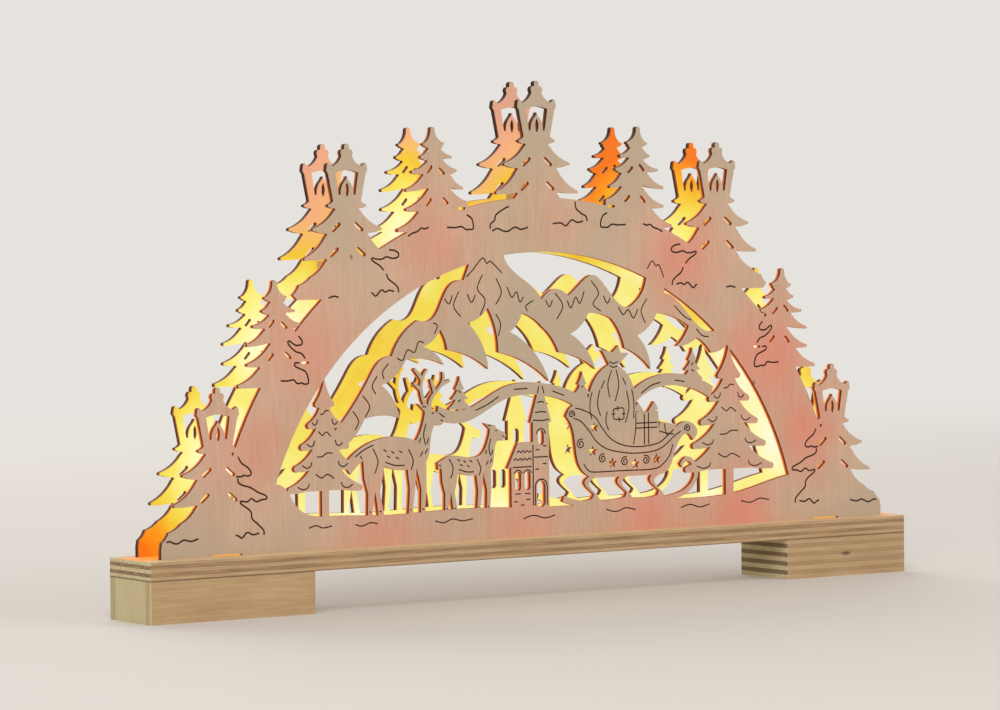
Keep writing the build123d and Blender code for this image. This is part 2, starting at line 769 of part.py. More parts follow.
def screw_shape(grow, head_low):
    head = screw_head / 2 + grow
    shank = screw_diameter / 2 + grow
    with BuildPart() as turned:
        with BuildSketch(Plane.XZ):
            with BuildLine():
                Polyline((0, head_low), (head + (screw_recess - head_low) * screw_slope, head_low),
                         (shank, screw_recess + 0.6 * screw_diameter), (shank, screw_length - screw_point),
                         (screw_tip + grow, screw_length + screw_recess + grow),
                         (0, screw_length + screw_recess + grow), (0, head_low))
            make_face()
        revolve(axis=Axis.Z)
    return turned.part


screw_blank = screw_shape(0, screw_recess)
screw_bore = screw_shape(screw_clearance, 0)
with BuildPart() as foot_screws:
    with Locations(*[(x, y, 0) for x, y in left_screws + right_screws]):
        add(screw_blank)
    with BuildSketch(Plane.XY.offset(screw_recess)):
        with Locations(*(left_screws + right_screws)):
            Rectangle(0.6 * screw_head, 0.15 * screw_head)
            Rectangle(0.15 * screw_head, 0.6 * screw_head)
    extrude(amount=0.4 * screw_diameter, mode=Mode.SUBTRACT)
foot_screws.part.label = "foot_screws"
export_step(foot_screws.part, "parts/foot_screws.step")

# Base board and feet
with BuildPart() as base_board:
    with BuildSketch(Plane.XY.offset(foot_height)):
        Rectangle(base_length, base_depth)
    extrude(amount=board_thickness)
    fillet(base_board.edges().filter_by(Axis.Z), edge_round)
    fillet(base_board.faces().sort_by(Axis.Z)[-1].edges(), edge_round / 2)
    with BuildSketch(Plane.XY.offset(board_top)):
        with Locations((-tab_place, -panel_middle), (-tab_place, panel_middle),
                       (tab_place, -panel_middle), (tab_place, panel_middle)):
            Rectangle(tab_length + 2 * slot_end_clearance, panel_thickness + 2 * slot_clearance)
        with Locations((switch_middle, wire_plane)):
            Circle(wire_hole / 2)
    extrude(amount=-board_thickness, mode=Mode.SUBTRACT)
    with Locations(*[(x, y, 0) for x, y in left_screws + right_screws]):
        add(screw_bore, mode=Mode.SUBTRACT)
base_board.part.label = "base_board"
export_step(base_board.part, "parts/base_board.step")

case_pocket = block(case_left - pocket_clearance, case_right + pocket_clearance,
                    case_width / 2 + pocket_clearance, 0, case_top)
lid_channel = block(case_right, foot_inner, lid_width / 2 + 2 * pocket_clearance,
                    0, groove_top + pocket_clearance)
with BuildPart() as left_foot:
    with BuildSketch(Plane.XY):
        with Locations((foot_left + left_foot_length / 2, 0)):
            Rectangle(left_foot_length, base_depth)
    extrude(amount=foot_height)
    fillet(left_foot.edges().filter_by(Axis.Z), edge_round)
    add([case_pocket, lid_channel], mode=Mode.SUBTRACT)
    with BuildSketch(Plane.XY.offset(foot_height)):
        with Locations((switch_middle, wire_plane)):
            Circle(wire_hole / 2)
    extrude(amount=case_top - foot_height, mode=Mode.SUBTRACT)
    with Locations(*[(x, y, 0) for x, y in left_screws]):
        add(screw_bore, mode=Mode.SUBTRACT)
left_foot.part.label = "left_foot"
export_step(left_foot.part, "parts/left_foot.step")

with BuildPart() as right_foot:
    with BuildSketch(Plane.XY):
        with Locations((right_inner + right_foot_length / 2, 0)):
            Rectangle(right_foot_length, base_depth)
    extrude(amount=foot_height)
    fillet(right_foot.edges().filter_by(Axis.Z), edge_round)
    with Locations(*[(x, y, 0) for x, y in right_screws]):
        add(screw_bore, mode=Mode.SUBTRACT)
right_foot.part.label = "right_foot"
export_step(right_foot.part, "parts/right_foot.step")
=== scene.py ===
from math import cos, radians, sin

import bpy
from mathutils import Matrix, Vector


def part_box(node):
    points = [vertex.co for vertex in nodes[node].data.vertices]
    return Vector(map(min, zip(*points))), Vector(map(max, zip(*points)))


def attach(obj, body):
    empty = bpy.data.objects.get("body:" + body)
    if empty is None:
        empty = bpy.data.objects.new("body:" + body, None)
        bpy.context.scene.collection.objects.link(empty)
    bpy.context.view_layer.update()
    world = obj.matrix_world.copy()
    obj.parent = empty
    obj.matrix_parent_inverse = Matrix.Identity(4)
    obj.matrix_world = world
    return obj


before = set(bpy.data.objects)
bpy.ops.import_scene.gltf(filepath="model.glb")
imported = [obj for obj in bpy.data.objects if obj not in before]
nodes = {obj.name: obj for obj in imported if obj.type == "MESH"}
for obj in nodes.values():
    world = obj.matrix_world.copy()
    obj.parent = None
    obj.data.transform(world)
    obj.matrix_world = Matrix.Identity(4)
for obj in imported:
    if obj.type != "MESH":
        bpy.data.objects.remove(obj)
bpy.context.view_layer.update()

mm = 0.001
black = (0, 0, 0, 1)
print("frame loaded:", len(nodes), "CAD nodes")

# Camera, set to the photograph's viewing angle

cameraSet = dict(azimuth=-33.71, elevation=2.247, roll=-0.5465, distance=2193.2 * mm,
                 target=Vector((-14.75, 0, 119.59)) * mm, lens=159.4, sensor=36, farthest=60)


def makeCamera(given):
    turn, lift, roll = (radians(given[key]) for key in ("azimuth", "elevation", "roll"))
    back = Vector((sin(turn) * cos(lift), -cos(turn) * cos(lift), sin(lift)))
    level = Vector((cos(turn), sin(turn), 0))
    upright = back.cross(level)
    across = cos(roll) * level + sin(roll) * upright
    camera = bpy.data.objects.new("camera", bpy.data.cameras.new("camera"))
    camera.data.lens = given["lens"]
    camera.data.sensor_width = given["sensor"]
    camera.data.clip_end = given["farthest"]
    camera.matrix_world = Matrix((across, back.cross(across), back)).transposed().to_4x4()
    camera.location = given["target"] + back * given["distance"]
    bpy.context.scene.collection.objects.link(camera)
    bpy.context.scene.camera = camera


makeCamera(cameraSet)
bpy.context.scene.view_settings.view_transform = "Standard"
print("camera placed")

# Small helpers for node trees


def tone(red, green, blue):  # screen colour, 0 to 255, as scene linear
    linear = []
    for level in (red, green, blue):
        share = level / 255
        linear.append(share / 12.92 if share <= 0.04045 else ((share + 0.055) / 1.055) ** 2.4)
    return (*linear, 1)


def shaded(color, share):
    return tone(*[share * level for level in color])


def addNode(tree, kind, inputs=None, **settings):
    item = tree.nodes.new(kind)
    for name, value in settings.items():
        setattr(item, name, value)
    for key, value in (inputs or {}).items():
        if isinstance(value, bpy.types.NodeSocket):
            tree.links.new(value, item.inputs[key])
        else:
            item.inputs[key].default_value = value
    return item


def calc(tree, operation, *values, clamp=False):
    inputs = dict(enumerate(values))
    return addNode(tree, "ShaderNodeMath", inputs, operation=operation, use_clamp=clamp).outputs[0]


def times(tree, first, second):
    return calc(tree, "MULTIPLY", first, second)


def apart(tree, value, place):  # how far a value lies from a place, on either side
    return calc(tree, "ABSOLUTE", calc(tree, "SUBTRACT", value, place))


def distance(tree, first, second):
    inputs = {0: first, 1: second}
    return addNode(tree, "ShaderNodeVectorMath", inputs, operation="DISTANCE").outputs["Value"]


def fade(tree, value, low, high):  # 0 at low, 1 at high
    return addNode(tree, "ShaderNodeMapRange", {"Value": value, "From Min": low, "From Max": high},
                   interpolation_type="SMOOTHSTEP").outputs[0]


def blend(tree, factor, first, second, kind="MIX"):
    return addNode(tree, "ShaderNodeMix", {0: factor, 6: first, 7: second}, data_type="RGBA",
                   blend_type=kind).outputs[2]


def ramp(tree, value, stops):  # stops are places with screen colours
    band = addNode(tree, "ShaderNodeValToRGB", {"Fac": value})
    points = band.color_ramp.elements
    while len(points) < len(stops):
        points.new(1)
    for point, (place, color) in zip(points, stops):
        point.position = place
        point.color = tone(*color)
    return band.outputs[0]


def noise(tree, coordinates, size, detail=2.0, roughness=0.5, distortion=0.0):  # size of a speck in mm
    return addNode(tree, "ShaderNodeTexNoise", {"Vector": coordinates, "Scale": 1 / (size * mm),
                   "Detail": detail, "Roughness": roughness, "Distortion": distortion}).outputs[0]


def stretch(tree, coordinates, scale, turn=(0, 0, 0), shift=(0, 0, 0)):
    return addNode(tree, "ShaderNodeMapping", {"Vector": coordinates, "Scale": scale, "Rotation": turn,
                   "Location": shift}).outputs[0]


def parts(tree, vector):
    return addNode(tree, "ShaderNodeSeparateXYZ", {0: vector}).outputs


def sideMask(tree, facing, axis):  # 1 on faces square to the axis
    return fade(tree, calc(tree, "ABSOLUTE", facing[axis]), 0.5, 0.8)


def startGroup(name, inputs, outputs):
    tree = bpy.data.node_groups.new(name, "ShaderNodeTree")
    for label, kind, value in inputs:
        socket = tree.interface.new_socket(label, in_out="INPUT", socket_type="NodeSocket" + kind)
        if value is not None:
            socket.default_value = value
    for label, kind in outputs:
        tree.interface.new_socket(label, in_out="OUTPUT", socket_type="NodeSocket" + kind)
    given = tree.nodes.new("NodeGroupInput").outputs
    result = tree.nodes.new("NodeGroupOutput").inputs
    return tree, given, result


def useGroup(tree, group, inputs):
    return addNode(tree, "ShaderNodeGroup", inputs, node_tree=group).outputs


def startMaterial(name, **plain):
    material = bpy.data.materials.new(name)
    material.use_nodes = True
    tree = material.node_tree
    shader = tree.nodes["Principled BSDF"]
    for key, value in plain.items():
        shader.inputs[key.replace("_", " ")].default_value = value
    place = addNode(tree, "ShaderNodeTexCoord").outputs["Object"]
    facing = parts(tree, addNode(tree, "ShaderNodeNewGeometry").outputs["Normal"])
    return material, tree, shader, place, facing


def finishMaterial(tree, shader, color=None, roughness=None, height=None, lift=0.1, glow=None):
    for key, value in (("Base Color", color), ("Roughness", roughness), ("Emission Color", glow)):
        if value is not None:
            tree.links.new(value, shader.inputs[key])
    if height is not None:
        bump = addNode(tree, "ShaderNodeBump", {"Height": height, "Distance": lift * mm, "Strength": 0.6})
        tree.links.new(bump.outputs[0], shader.inputs["Normal"])


def dress(material, *names):
    for name in names:
        slots = nodes[name].data.materials
        slots.clear()
        slots.append(material)


# Shared effects: wood grain, ply bands and the light of the lamp string

lampNames = sorted(name for name in nodes if name.startswith("lamp_lens"))
panelLow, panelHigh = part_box("front_panel")
backLow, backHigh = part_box("back_panel")
boardLow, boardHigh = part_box("base_board")
panelThickness = panelHigh.y - panelLow.y

grainLook = dict(fibre=0.7, pore=0.4, band=7, cloud=38,  # sizes in mm, then how much each one darkens
                 fibreShare=0.5, poreShare=0.3, bandShare=0.16, cloudShare=0.24, poreShade=tone(96, 68, 46))


def makeGrain(look):  # long streaks along Z of the coordinates that come in
    tree, given, result = startGroup("woodGrain", [
        ("Coordinates", "Vector", None), ("Pale", "Color", tone(190, 160, 132)),
        ("Dark", "Color", tone(150, 120, 95)), ("Contrast", "Float", 1.0)],
        [("Color", "Color"), ("Height", "Float"), ("Roughness", "Float")])
    along = given["Coordinates"]
    fibre = noise(tree, stretch(tree, along, (1, 1, 0.04)), look["fibre"], 3, 0.6)
    pores = noise(tree, stretch(tree, along, (1, 1, 0.1), shift=(0.3, 0.1, 0)), look["pore"], 2, 0.5)
    bands = noise(tree, stretch(tree, along, (1, 1, 0.05), shift=(0, 0.2, 0.4)), look["band"], 2, 0.5, 0.6)
    cloud = noise(tree, along, look["cloud"], 2)
    pore = fade(tree, pores, 0.58, 0.78)
    share = calc(tree, "ADD", times(tree, fade(tree, fibre, 0.25, 0.75), look["fibreShare"]),
                 times(tree, fade(tree, bands, 0.25, 0.75), look["bandShare"]))
    share = calc(tree, "ADD", share, times(tree, fade(tree, cloud, 0.3, 0.7), look["cloudShare"]))
    wood = blend(tree, times(tree, share, given["Contrast"]), given["Pale"], given["Dark"])
    wood = blend(tree, times(tree, pore, look["poreShare"]), wood,
                 blend(tree, 0.4, given["Dark"], look["poreShade"]))
    tree.links.new(wood, result["Color"])
    tree.links.new(calc(tree, "SUBTRACT", fibre, times(tree, pore, 0.8)), result["Height"])
    tree.links.new(calc(tree, "ADD", 0.58, times(tree, fibre, 0.22)), result["Roughness"])
    return tree


def makePlies():  # mask of the dark layers, counted along a value that goes from 0 to 1
    tree, given, result = startGroup(
        "plyBands", [("Across", "Float", 0.0), ("Layers", "Float", 5.0), ("Wander", "Float", 0.0)],
        [("Dark", "Float"), ("Glue", "Float")])
    count = times(tree, calc(tree, "ADD", given["Across"], given["Wander"]), given["Layers"])
    half = calc(tree, "PINGPONG", count, 1.0)
    step = calc(tree, "FLOORED_MODULO", count, 2.0)
    tree.links.new(fade(tree, apart(tree, step, 1.5), 0.56, 0.44), result["Dark"])
    tree.links.new(fade(tree, apart(tree, half, 1.0), 0.94, 1.0), result["Glue"])
    return tree


# In mm: lamps run together over merge, and an offset puts one nearer or further off
lampReach = dict(merge=12, offsets={"lamp_lens_2": -7, "lamp_lens_4": 18, "lamp_lens_6": -7})
rampLength = 100  # mm from a lamp to the end of a ramp of its light


def makeLampDistance(names, look):  # distance in mm, in the panel's plane, to the nearest lamp
    tree, given, result = startGroup("lampDistance", [("Coordinates", "Vector", None)],
                                     [("Distance", "Float")])
    flat = addNode(tree, "ShaderNodeVectorMath", {0: given["Coordinates"], 1: (1, 0, 1)},
                   operation="MULTIPLY").outputs[0]
    nearest = 1.0
    for name in names:
        spot = sum(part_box(name), Vector()) / 2
        away = distance(tree, flat, (spot.x, 0, spot.z))
        away = calc(tree, "ADD", away, look["offsets"].get(name, 0) * mm)
        nearest = calc(tree, "SMOOTH_MIN", nearest, away, look["merge"] * mm)
    tree.links.new(times(tree, nearest, 1 / mm), result["Distance"])
    return tree


woodGrain = makeGrain(grainLook)
plyBands = makePlies()
lampDistance = makeLampDistance(lampNames, lampReach)
print("shared effects made for", len(lampNames), "lamps")

# The two fretted panels

# far and its range: painted shade, the panel face duller and greyer away from the lamps
panelWood = dict(pale=tone(208, 175, 148), dark=tone(185, 149, 122),
                 far=tone(182, 163, 138), farShadeFrom=30, farShadeTo=60, farShadeShare=0.85,
                 burnt=tone(22, 13, 9), scorch=tone(52, 29, 17), soot=0.8, layers=3.0, layerShare=0.5,
                 shine=tone(222, 112, 92), shineFrom=56, shineTo=8, shinePatch=24, shineUneven=34,
                 shineAcross=(-20 * mm, 70 * mm), shineLeft=0.58, shineMoreRight=0.45,
                 shineShare=0.85, shineWood=0.35, shineGlow=0.05,
                 knots=((-108.5, 169.8), (133.0, 101.5)), knotSize=(1.1 * mm, 0.3 * mm), knotSlim=0.6,
                 knotShade=tone(96, 58, 36), knotShare=0.7)

# Painted lamp light: its colours on the inner walls along rampLength, and on the cut edges (rim) away from
# the lamps
wallLightNear = [(0.00, (254, 252, 226)), (0.11, (252, 249, 196)), (0.21, (248, 240, 142)),
            (0.30, (243, 224, 92)), (0.39, (240, 200, 56))]
wallLight = dict(
    left=wallLightNear + [(0.47, (242, 194, 108)), (0.56, (240, 178, 136)), (0.72, (222, 166, 140)),
                     (0.92, (200, 160, 138))],
    right=wallLightNear + [(0.47, (246, 164, 26)), (0.57, (244, 122, 14)), (0.72, (234, 118, 30)),
                      (0.92, (204, 146, 116))],
    rim=[(0.00, (255, 178, 74)), (0.28, (240, 112, 32)), (0.55, (150, 46, 18)), (0.85, (28, 11, 7))],
    archCentre=9.5 * mm, archFade=(173 * mm, 149 * mm),
    hold=16, holdSlope=0.12, holdLeft=15, holdAcross=(20 * mm, -100 * mm), holdUp=(60 * mm, 110 * mm),
    lowGain=10, lowUp=(110 * mm, 60 * mm), warmAcross=(5 * mm, 55 * mm), warmUp=(130 * mm, 80 * mm),
    rippleSize=14, rippleReach=14, grain=0.25, bounce=0.2, rimReach=(0.9, 0.2),
    front=dict(wall=0.5, rim=1.0), back=dict(wall=0.86, rim=0.4))


def lampThrough(tree, given, place, away):  # faint red where a lamp shines through the thin wood
    patch = noise(tree, stretch(tree, place, (1, 1, 0.6)), given["shinePatch"], 3, 0.6)
    away = calc(tree, "ADD", away, times(tree, patch, given["shineUneven"]))
    rightward = fade(tree, parts(tree, place)["X"], *given["shineAcross"])
    strength = calc(tree, "MULTIPLY_ADD", rightward, given["shineMoreRight"], given["shineLeft"])
    return times(tree, fade(tree, away, given["shineFrom"], given["shineTo"]), strength)


def panelFace(tree, given, place, wood, away, through):
    # Painted shade away from the lamps, then painted lamp light shining red through the wood
    far = times(tree, fade(tree, away, given["farShadeFrom"], given["farShadeTo"]), given["farShadeShare"])
    face = blend(tree, far, wood["Color"], given["far"])
    share = calc(tree, "MULTIPLY", through, given["shineShare"], clamp=True)
    face = blend(tree, share, face, blend(tree, given["shineWood"], given["shine"], face))
    slim = given["knotSlim"]
    spot = 1.0
    for across, up in given["knots"]:
        off = distance(tree, stretch(tree, place, (1, 0, slim)), (across * mm, 0, slim * up * mm))
        spot = calc(tree, "MINIMUM", spot, off)
    mark = times(tree, fade(tree, spot, *given["knotSize"]), given["knotShare"])
    return blend(tree, mark, face, given["knotShade"])


def panelEdge(tree, given, place, depth):  # burnt by the cut, layer by layer
    layer = useGroup(tree, plyBands, {"Across": depth, "Layers": given["layers"]})
    soot = noise(tree, stretch(tree, place, (1, 0.1, 1)), given["soot"], 2)
    charred = blend(tree, fade(tree, soot, 0.35, 0.75), given["burnt"], given["scorch"])
    return blend(tree, times(tree, layer["Dark"], given["layerShare"]), charred, given["burnt"])


def lightOnWalls(tree, light, place, wood, away):  # how far the light has come, and its colour there
    axes = parts(tree, place)
    x, z = axes["X"], axes["Z"]
    radius = distance(tree, stretch(tree, place, (1, 0, 1)), (0, 0, light["archCentre"]))
    inside = fade(tree, radius, *light["archFade"])
    held = times(tree, fade(tree, x, *light["holdAcross"]), fade(tree, z, *light["holdUp"]))
    held = calc(tree, "MULTIPLY_ADD", held, light["holdLeft"],
                calc(tree, "MULTIPLY_ADD", away, light["holdSlope"], light["hold"]))
    low = times(tree, fade(tree, z, *light["lowUp"]), light["lowGain"])
    reach = blend(tree, inside, calc(tree, "SUBTRACT", away, low), calc(tree, "MINIMUM", away, held))
    ripple = calc(tree, "SUBTRACT", noise(tree, place, light["rippleSize"], 2), 0.5)
    reach = calc(tree, "ADD", reach, times(tree, ripple, light["rippleReach"]))
    reach = times(tree, reach, 1 / rampLength)
    warm = calc(tree, "MAXIMUM", fade(tree, x, *light["warmAcross"]), fade(tree, z, *light["warmUp"]))
    lit = blend(tree, warm, ramp(tree, reach, light["left"]), ramp(tree, reach, light["right"]))
    lit = blend(tree, light["grain"], lit, blend(tree, 1.0, lit, wood["Color"], "OVERLAY"))
    return reach, lit


def panelMaterial(name, given, light, low, high):
    material, tree, shader, place, facing = startMaterial(name, Emission_Strength=1.0,
                                                          Specular_IOR_Level=0.25)
    wood = useGroup(tree, woodGrain, {"Coordinates": place, "Pale": given["pale"], "Dark": given["dark"]})
    away = useGroup(tree, lampDistance, {"Coordinates": place})["Distance"]
    axes = parts(tree, place)
    behind = low.y > 0
    lampSide = low.y if behind else high.y
    strength = light["back" if behind else "front"]
    edge = fade(tree, calc(tree, "ABSOLUTE", facing["Y"]), 0.75, 0.45)
    inner = fade(tree, times(tree, facing["Y"], -1 if behind else 1), 0.45, 0.75)
    depth = times(tree, apart(tree, axes["Y"], lampSide), 1 / panelThickness)
    through = lampThrough(tree, given, place, away)
    reach, lit = lightOnWalls(tree, light, place, wood, away)
    color = blend(tree, edge, panelFace(tree, given, place, wood, away, through),
                  panelEdge(tree, given, place, depth))
    # Painted lamp light: the walls that face the lamps take a dim copy of it as their colour, and show it as
    # glow below
    color = blend(tree, inner, color, blend(tree, light["bounce"], black, lit))
    # Cut edges glow from the lamp side, above the board
    above = fade(tree, axes["Z"], boardHigh.z - 2 * mm, boardHigh.z)
    seen = times(tree, fade(tree, reach, *light["rimReach"]), above)
    rim = blend(tree, times(tree, seen, strength["rim"]), black, ramp(tree, depth, light["rim"]))
    face = blend(tree, times(tree, through, given["shineGlow"]), black, given["shine"])
    wall = blend(tree, strength["wall"], black, lit)
    glow = blend(tree, inner, blend(tree, edge, face, rim), wall)
    finishMaterial(tree, shader, color, wood["Roughness"], wood["Height"], 0.05, glow)
    return material


dress(panelMaterial("frontWood", panelWood, wallLight, panelLow, panelHigh), "front_panel")
dress(panelMaterial("backWood", panelWood, wallLight, backLow, backHigh), "back_panel")
print("panels dressed")

# Base board and feet

baseWood = dict(top=tone(214, 187, 148), pale=tone(202, 170, 129), dark=tone(170, 138, 100),
                ply=tone(122, 92, 62), end=tone(208, 202, 158), endDark=tone(98, 74, 52))
boardLook = dict(layers=5.0, waveSize=40, wave=0.05, contrast=1.2, frontShare=0.72, endShare=0.85,
                 glueShare=0.5, glueDeep=0.6, litAcross=(15 * mm, 8 * mm), litGlow=0.75, litShare=0.8,
                 bounce=0.25, lit=[(0.1, (255, 236, 160)), (0.4, (250, 190, 74)), (0.7, (244, 146, 44)),
                                   (1.0, (226, 116, 40))])
# Painted shade at the joint between the board and its feet: how wide it fades and how dark it goes
seamShadeLook = dict(size=(0.6 * mm, 0.2 * mm), share=0.7)


def lengthwise(tree, place):  # grain that runs along the board
    return stretch(tree, place, (1, 1, 1), turn=(0, radians(90), 0))


def plyLayers(tree, place, low, high, look):  # the layers of a block, which wander a little
    across = times(tree, calc(tree, "SUBTRACT", parts(tree, place)["Z"], low.z), 1 / (high.z - low.z))
    wave = calc(tree, "SUBTRACT", noise(tree, stretch(tree, place, (1, 1, 0)), look["waveSize"], 2), 0.5)
    return useGroup(tree, plyBands, {"Across": across, "Layers": look["layers"],
                                     "Wander": times(tree, wave, look["wave"])})


def specks(tree, place, scale, size, detail):
    return fade(tree, noise(tree, stretch(tree, place, scale), size, detail), 0.35, 0.7)


def paintSeamShade(tree, color, place, facing, shade):  # painted shade in the thin joint between the board and its feet; along the board's lower edge between the feet it stands for both wear and shade
    near = fade(tree, apart(tree, parts(tree, place)["Z"], boardLow.z), *seamShadeLook["size"])
    upright = fade(tree, calc(tree, "ABSOLUTE", facing["Z"]), 0.8, 0.5)
    return blend(tree, times(tree, times(tree, near, upright), seamShadeLook["share"]), color, shade)


def boardMaterial(base, look):
    material, tree, shader, place, facing = startMaterial("boardWood", Emission_Strength=1.0,
                                                          Specular_IOR_Level=0.25)
    turned = lengthwise(tree, place)
    top = useGroup(tree, woodGrain, {"Coordinates": turned, "Pale": base["top"], "Dark": base["pale"]})
    side = useGroup(tree, woodGrain, {"Coordinates": turned, "Pale": base["pale"], "Dark": base["dark"],
                                      "Contrast": look["contrast"]})
    layer = plyLayers(tree, place, boardLow, boardHigh, look)
    stipple = specks(tree, place, (0.35, 0.35, 1), 0.7, 2)
    streak = specks(tree, place, (0.03, 1, 1), 0.8, 3)
    plies = blend(tree, times(tree, layer["Dark"], look["frontShare"]), side["Color"],
                  blend(tree, streak, base["ply"], base["dark"]))
    plies = blend(tree, times(tree, layer["Glue"], look["glueShare"]), plies, base["endDark"])
    pale = blend(tree, stipple, base["end"], base["pale"])
    dark = blend(tree, stipple, base["endDark"], base["dark"])
    ends = blend(tree, times(tree, layer["Dark"], look["endShare"]), pale, dark)
    color = blend(tree, sideMask(tree, facing, "X"), plies, ends)
    color = paintSeamShade(tree, color, place, facing, base["endDark"])
    color = blend(tree, sideMask(tree, facing, "Z"), color, top["Color"])
    # Lamp light on the top between the panels
    away = useGroup(tree, lampDistance, {"Coordinates": place})["Distance"]
    middle = fade(tree, calc(tree, "ABSOLUTE", parts(tree, place)["Y"]), *look["litAcross"])
    strength = times(tree, middle, fade(tree, facing["Z"], 0.5, 0.9))
    lit = ramp(tree, times(tree, away, 1 / rampLength), look["lit"])
    glow = blend(tree, times(tree, strength, look["litGlow"]), black, lit)
    color = blend(tree, times(tree, strength, look["litShare"]), color,
                  blend(tree, look["bounce"], black, lit))
    height = calc(tree, "SUBTRACT", top["Height"], times(tree, layer["Glue"], look["glueDeep"]))
    finishMaterial(tree, shader, color, top["Roughness"], height, 0.06, glow)
    return material


footLook = dict(front=tone(197, 166, 124), frontDark=tone(170, 138, 100), contrast=1.15,
                plyLines=((18.2, 0.5), (16.6, 0.6), (15.2, 0.4)), lineShare=0.62,
                layers=9.0, waveSize=30, wave=0.03, frontShare=0.28, endShare=0.8,
                knot=(186.0, 11.6), knotSize=(1.5 * mm, 0.4 * mm), knotSlim=0.35,
                knotShade=tone(66, 44, 30), knotShare=0.75)


def footFront(tree, place, given):
    return useGroup(tree, woodGrain, {"Coordinates": lengthwise(tree, place), "Pale": given["front"],
                                      "Dark": given["frontDark"], "Contrast": given["contrast"]})


def leftFootMaterial(given, base):
    material, tree, shader, place, facing = startMaterial("leftFootWood", Specular_IOR_Level=0.25)
    front = footFront(tree, place, given)
    end = useGroup(tree, woodGrain, {"Coordinates": place, "Pale": base["end"], "Dark": base["pale"]})
    across = calc(tree, "ABSOLUTE", parts(tree, place)["Y"])
    lines = 0.0
    for line, width in given["plyLines"]:
        mark = fade(tree, apart(tree, across, line * mm), width * mm, 0.2 * width * mm)
        lines = calc(tree, "MAXIMUM", lines, mark)
    ends = blend(tree, times(tree, lines, given["lineShare"]), end["Color"], base["ply"])
    color = blend(tree, sideMask(tree, facing, "X"), front["Color"], ends)
    color = paintSeamShade(tree, color, place, facing, base["endDark"])
    finishMaterial(tree, shader, color, front["Roughness"], front["Height"], 0.06)
    return material


def rightFootMaterial(given, base):
    material, tree, shader, place, facing = startMaterial("rightFootWood", Specular_IOR_Level=0.25)
    front = footFront(tree, place, given)
    footLow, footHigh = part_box("right_foot")
    layer = plyLayers(tree, place, footLow, footHigh, given)
    bands = blend(tree, times(tree, layer["Dark"], given["frontShare"]), front["Color"], base["ply"])
    slim = given["knotSlim"]
    knotX, knotZ = given["knot"]
    off = distance(tree, stretch(tree, place, (slim, 0, 1)), (slim * knotX * mm, 0, knotZ * mm))
    mark = times(tree, fade(tree, off, *given["knotSize"]), given["knotShare"])
    bands = blend(tree, mark, bands, given["knotShade"])
    stipple = specks(tree, place, (0.4, 0.4, 1), 0.7, 2)
    pale = blend(tree, stipple, base["end"], base["pale"])
    dark = blend(tree, stipple, base["endDark"], base["ply"])
    ends = blend(tree, times(tree, layer["Dark"], given["endShare"]), pale, dark)
    color = blend(tree, sideMask(tree, facing, "X"), bands, ends)
    color = paintSeamShade(tree, color, place, facing, base["endDark"])
    finishMaterial(tree, shader, color, front["Roughness"], front["Height"], 0.06)
    return material


dress(boardMaterial(baseWood, boardLook), "base_board")
dress(leftFootMaterial(footLook, baseWood), "left_foot")
dress(rightFootMaterial(footLook, baseWood), "right_foot")
print("base dressed")

# Small parts: spacers, lamp string, battery case, cells, contacts and screws

smallLook = dict(socket=(228, 221, 204), wire=(206, 198, 178), case=(38, 38, 40), slider=(196, 194, 188),
                 nickel=(198, 192, 180), zinc=(186, 182, 172))
lensLook = dict(color=tone(255, 238, 196), mottle=tone(236, 204, 150), root=tone(255, 206, 120),
                tip=tone(255, 248, 222))
cellLook = dict(wrapper=tone(74, 92, 88), ring=tone(206, 204, 196), shadow=tone(30, 34, 42),
                metal=tone(*smallLook["nickel"]), cap=1.5, ringPlace=7, ringHalf=4.0, soft=0.2)  # mm


def spacerMaterial(base):
    material, tree, shader, place, facing = startMaterial("spacerWood", Specular_IOR_Level=0.25)
    turned = stretch(tree, place, (1, 1, 1), turn=(radians(90), 0, 0))
    wood = useGroup(tree, woodGrain, {"Coordinates": turned, "Pale": base["top"], "Dark": base["dark"]})
    finishMaterial(tree, shader, wood["Color"], wood["Roughness"], wood["Height"], 0.05)
    return material


def plasticMaterial(name, color, rough, speck):  # moulded plastic with a fine sparked skin
    material, tree, shader, place, facing = startMaterial(name, Specular_IOR_Level=0.4)
    skin = noise(tree, place, speck, 3, 0.6)
    cloud = fade(tree, noise(tree, place, 12, 2), 0.3, 0.7)
    shade = blend(tree, times(tree, cloud, 0.35), tone(*color), shaded(color, 0.86))
    finishMaterial(tree, shader, shade, calc(tree, "ADD", rough, times(tree, skin, 0.2)), skin, 0.03)
    return material


def lensMaterial(given):
    material, tree, shader, place, facing = startMaterial("lensGlow", Emission_Strength=1.0, Roughness=0.2)
    low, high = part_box(lampNames[0])
    glow = blend(tree, fade(tree, parts(tree, place)["Y"], low.y, high.y), given["root"], given["tip"])
    color = blend(tree, times(tree, noise(tree, place, 1.2, 2), 0.4), given["color"], given["mottle"])
    finishMaterial(tree, shader, color, glow=glow)
    return material


def metalMaterial(name, color, stroke):  # plated sheet or wire with fine drawn marks
    material, tree, shader, place, facing = startMaterial(name, Metallic=1.0)
    marks = noise(tree, stretch(tree, place, stroke), 0.5, 3, 0.6)
    dull = fade(tree, noise(tree, place, 4, 2), 0.35, 0.75)
    shade = blend(tree, dull, tone(*color), shaded(color, 0.8))
    finishMaterial(tree, shader, shade, calc(tree, "ADD", 0.24, times(tree, marks, 0.3)), marks, 0.01)
    return material


